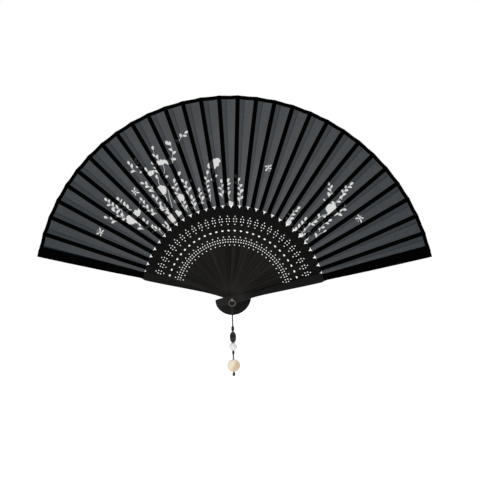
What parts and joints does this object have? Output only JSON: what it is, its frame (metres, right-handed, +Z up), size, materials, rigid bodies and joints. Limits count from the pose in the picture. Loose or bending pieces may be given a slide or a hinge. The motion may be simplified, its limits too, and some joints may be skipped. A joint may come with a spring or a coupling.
{
  "type": "folding hand fan",
  "caption": "Open folding hand fan with pierced dark sticks, two guards, a sheer pleated floral leaf with a bound edge, and a beaded cord charm on a ring.",
  "frame": {"origin": "on the pivot pin's axis, midway through the stack of sticks, where the hand holds the fan", "axes": "+Z up through the open leaf's middle, +X to the right guard seen from the front, -Y out of the printed front; the pin lies along Y"},
  "size_m": [0.3792, 0.0287, 0.2674],
  "materials": {
    "guard_wood": "black stained, satin lacquer",
    "stick_wood": "black stained, satin",
    "leaf_cloth": "sheer woven cloth, printed",
    "black_cloth": "woven",
    "black_ribbon": "woven ribbon",
    "pin_metal": "dull",
    "ring_metal": "worn bright",
    "charm_cord": "waxed twisted cord",
    "black_bead": "polished",
    "white_bead": "satin",
    "wood_bead": "sanded, sealed"
  },
  "bodies": {
    "rear_guard_body": {"rear_guard": "guard_wood", "silk_leaf": "leaf_cloth", "edge_binding": "black_ribbon", "pivot_pin": "pin_metal", "pin_washer": "pin_metal"},
    "stick_01_body": {"stick_01": "stick_wood"},
    "stick_02_body": {"stick_02": "stick_wood"},
    "stick_03_body": {"stick_03": "stick_wood"},
    "stick_04_body": {"stick_04": "stick_wood"},
    "stick_05_body": {"stick_05": "stick_wood"},
    "stick_06_body": {"stick_06": "stick_wood"},
    "stick_07_body": {"stick_07": "stick_wood"},
    "stick_08_body": {"stick_08": "stick_wood"},
    "stick_09_body": {"stick_09": "stick_wood"},
    "stick_10_body": {"stick_10": "stick_wood"},
    "stick_11_body": {"stick_11": "stick_wood"},
    "stick_12_body": {"stick_12": "stick_wood"},
    "stick_13_body": {"stick_13": "stick_wood"},
    "stick_14_body": {"stick_14": "stick_wood"},
    "stick_15_body": {"stick_15": "stick_wood"},
    "stick_16_body": {"stick_16": "stick_wood"},
    "stick_17_body": {"stick_17": "stick_wood"},
    "stick_18_body": {"stick_18": "stick_wood"},
    "stick_19_body": {"stick_19": "stick_wood"},
    "stick_20_body": {"stick_20": "stick_wood"},
    "stick_21_body": {"stick_21": "stick_wood"},
    "stick_22_body": {"stick_22": "stick_wood"},
    "stick_23_body": {"stick_23": "stick_wood"},
    "stick_24_body": {"stick_24": "stick_wood"},
    "stick_25_body": {"stick_25": "stick_wood"},
    "stick_26_body": {"stick_26": "stick_wood"},
    "stick_27_body": {"stick_27": "stick_wood"},
    "stick_28_body": {"stick_28": "stick_wood"},
    "front_guard_body": {"front_guard": "guard_wood", "leaf_end_flap": "black_cloth"},
    "ring_body": {"jump_ring": "ring_metal"},
    "charm_body": {"charm_cord": "charm_cord", "charm_cord_return": "charm_cord", "upper_knot": "charm_cord", "middle_knot": "charm_cord", "end_knot": "charm_cord"},
    "black_bead_body": {"black_bead": "black_bead"},
    "white_bead_body": {"white_bead": "white_bead"},
    "wood_bead_body": {"wood_bead": "wood_bead"}
  },
  "joints": [
    {"name": "fold_01", "type": "hinge", "parent": "rear_guard_body", "child": "stick_01_body", "pos_m": [0, 0, 0], "axis": [0, -1, 0], "range_deg": [0, 5.27], "deforming": ["silk_leaf", "edge_binding"]},
    {"name": "fold_02", "type": "hinge", "parent": "stick_01_body", "child": "stick_02_body", "pos_m": [0, 0, 0], "axis": [0, -1, 0], "range_deg": [0, 5.27]},
    {"name": "fold_03", "type": "hinge", "parent": "stick_02_body", "child": "stick_03_body", "pos_m": [0, 0, 0], "axis": [0, -1, 0], "range_deg": [0, 5.27]},
    {"name": "fold_04", "type": "hinge", "parent": "stick_03_body", "child": "stick_04_body", "pos_m": [0, 0, 0], "axis": [0, -1, 0], "range_deg": [0, 5.27]},
    {"name": "fold_05", "type": "hinge", "parent": "stick_04_body", "child": "stick_05_body", "pos_m": [0, 0, 0], "axis": [0, -1, 0], "range_deg": [0, 5.27]},
    {"name": "fold_06", "type": "hinge", "parent": "stick_05_body", "child": "stick_06_body", "pos_m": [0, 0, 0], "axis": [0, -1, 0], "range_deg": [0, 5.27]},
    {"name": "fold_07", "type": "hinge", "parent": "stick_06_body", "child": "stick_07_body", "pos_m": [0, 0, 0], "axis": [0, -1, 0], "range_deg": [0, 5.27]},
    {"name": "fold_08", "type": "hinge", "parent": "stick_07_body", "child": "stick_08_body", "pos_m": [0, 0, 0], "axis": [0, -1, 0], "range_deg": [0, 5.27]},
    {"name": "fold_09", "type": "hinge", "parent": "stick_08_body", "child": "stick_09_body", "pos_m": [0, 0, 0], "axis": [0, -1, 0], "range_deg": [0, 5.27]},
    {"name": "fold_10", "type": "hinge", "parent": "stick_09_body", "child": "stick_10_body", "pos_m": [0, 0, 0], "axis": [0, -1, 0], "range_deg": [0, 5.27]},
    {"name": "fold_11", "type": "hinge", "parent": "stick_10_body", "child": "stick_11_body", "pos_m": [0, 0, 0], "axis": [0, -1, 0], "range_deg": [0, 5.27]},
    {"name": "fold_12", "type": "hinge", "parent": "stick_11_body", "child": "stick_12_body", "pos_m": [0, 0, 0], "axis": [0, -1, 0], "range_deg": [0, 5.27]},
    {"name": "fold_13", "type": "hinge", "parent": "stick_12_body", "child": "stick_13_body", "pos_m": [0, 0, 0], "axis": [0, -1, 0], "range_deg": [0, 5.27]},
    {"name": "fold_14", "type": "hinge", "parent": "stick_13_body", "child": "stick_14_body", "pos_m": [0, 0, 0], "axis": [0, -1, 0], "range_deg": [0, 5.27]},
    {"name": "fold_15", "type": "hinge", "parent": "stick_14_body", "child": "stick_15_body", "pos_m": [0, 0, 0], "axis": [0, -1, 0], "range_deg": [0, 5.27]},
    {"name": "fold_16", "type": "hinge", "parent": "stick_15_body", "child": "stick_16_body", "pos_m": [0, 0, 0], "axis": [0, -1, 0], "range_deg": [0, 5.27]},
    {"name": "fold_17", "type": "hinge", "parent": "stick_16_body", "child": "stick_17_body", "pos_m": [0, 0, 0], "axis": [0, -1, 0], "range_deg": [0, 5.27]},
    {"name": "fold_18", "type": "hinge", "parent": "stick_17_body", "child": "stick_18_body", "pos_m": [0, 0, 0], "axis": [0, -1, 0], "range_deg": [0, 5.27]},
    {"name": "fold_19", "type": "hinge", "parent": "stick_18_body", "child": "stick_19_body", "pos_m": [0, 0, 0], "axis": [0, -1, 0], "range_deg": [0, 5.27]},
    {"name": "fold_20", "type": "hinge", "parent": "stick_19_body", "child": "stick_20_body", "pos_m": [0, 0, 0], "axis": [0, -1, 0], "range_deg": [0, 5.27]},
    {"name": "fold_21", "type": "hinge", "parent": "stick_20_body", "child": "stick_21_body", "pos_m": [0, 0, 0], "axis": [0, -1, 0], "range_deg": [0, 5.27]},
    {"name": "fold_22", "type": "hinge", "parent": "stick_21_body", "child": "stick_22_body", "pos_m": [0, 0, 0], "axis": [0, -1, 0], "range_deg": [0, 5.27]},
    {"name": "fold_23", "type": "hinge", "parent": "stick_22_body", "child": "stick_23_body", "pos_m": [0, 0, 0], "axis": [0, -1, 0], "range_deg": [0, 5.27]},
    {"name": "fold_24", "type": "hinge", "parent": "stick_23_body", "child": "stick_24_body", "pos_m": [0, 0, 0], "axis": [0, -1, 0], "range_deg": [0, 5.27]},
    {"name": "fold_25", "type": "hinge", "parent": "stick_24_body", "child": "stick_25_body", "pos_m": [0, 0, 0], "axis": [0, -1, 0], "range_deg": [0, 5.27]},
    {"name": "fold_26", "type": "hinge", "parent": "stick_25_body", "child": "stick_26_body", "pos_m": [0, 0, 0], "axis": [0, -1, 0], "range_deg": [0, 5.27]},
    {"name": "fold_27", "type": "hinge", "parent": "stick_26_body", "child": "stick_27_body", "pos_m": [0, 0, 0], "axis": [0, -1, 0], "range_deg": [0, 5.27]},
    {"name": "fold_28", "type": "hinge", "parent": "stick_27_body", "child": "stick_28_body", "pos_m": [0, 0, 0], "axis": [0, -1, 0], "range_deg": [0, 5.27]},
    {"name": "fold_29", "type": "hinge", "parent": "stick_28_body", "child": "front_guard_body", "pos_m": [0, 0, 0], "axis": [0, -1, 0], "range_deg": [0, 5.27]},
    {"name": "ring_swing", "type": "hinge", "parent": "rear_guard_body", "child": "ring_body", "pos_m": [0, -0.012, 0.00043], "axis": [-1, 0, 0], "range_deg": [0, 60]},
    {"name": "charm_swing", "type": "hinge", "parent": "ring_body", "child": "charm_body", "pos_m": [0, -0.012, -0.00257], "axis": [0, -1, 0], "range_deg": [-60, 60]},
    {"name": "black_bead_spin", "type": "hinge", "parent": "charm_body", "child": "black_bead_body", "pos_m": [0, -0.012, -0.0357], "axis": [0, 0, 1], "continuous": true},
    {"name": "white_bead_spin", "type": "hinge", "parent": "charm_body", "child": "white_bead_body", "pos_m": [0, -0.012, -0.04475], "axis": [0, 0, 1], "continuous": true},
    {"name": "wood_bead_spin", "type": "hinge", "parent": "charm_body", "child": "wood_bead_body", "pos_m": [0, -0.012, -0.06315], "axis": [0, 0, 1], "continuous": true}
  ],
  "couplings": [
    {"joint": "fold_02", "follows": "fold_01", "ratio": 1},
    {"joint": "fold_03", "follows": "fold_01", "ratio": 1},
    {"joint": "fold_04", "follows": "fold_01", "ratio": 1},
    {"joint": "fold_05", "follows": "fold_01", "ratio": 1},
    {"joint": "fold_06", "follows": "fold_01", "ratio": 1},
    {"joint": "fold_07", "follows": "fold_01", "ratio": 1},
    {"joint": "fold_08", "follows": "fold_01", "ratio": 1},
    {"joint": "fold_09", "follows": "fold_01", "ratio": 1},
    {"joint": "fold_10", "follows": "fold_01", "ratio": 1},
    {"joint": "fold_11", "follows": "fold_01", "ratio": 1},
    {"joint": "fold_12", "follows": "fold_01", "ratio": 1},
    {"joint": "fold_13", "follows": "fold_01", "ratio": 1},
    {"joint": "fold_14", "follows": "fold_01", "ratio": 1},
    {"joint": "fold_15", "follows": "fold_01", "ratio": 1},
    {"joint": "fold_16", "follows": "fold_01", "ratio": 1},
    {"joint": "fold_17", "follows": "fold_01", "ratio": 1},
    {"joint": "fold_18", "follows": "fold_01", "ratio": 1},
    {"joint": "fold_19", "follows": "fold_01", "ratio": 1},
    {"joint": "fold_20", "follows": "fold_01", "ratio": 1},
    {"joint": "fold_21", "follows": "fold_01", "ratio": 1},
    {"joint": "fold_22", "follows": "fold_01", "ratio": 1},
    {"joint": "fold_23", "follows": "fold_01", "ratio": 1},
    {"joint": "fold_24", "follows": "fold_01", "ratio": 1},
    {"joint": "fold_25", "follows": "fold_01", "ratio": 1},
    {"joint": "fold_26", "follows": "fold_01", "ratio": 1},
    {"joint": "fold_27", "follows": "fold_01", "ratio": 1},
    {"joint": "fold_28", "follows": "fold_01", "ratio": 1},
    {"joint": "fold_29", "follows": "fold_01", "ratio": 1}
  ]
}
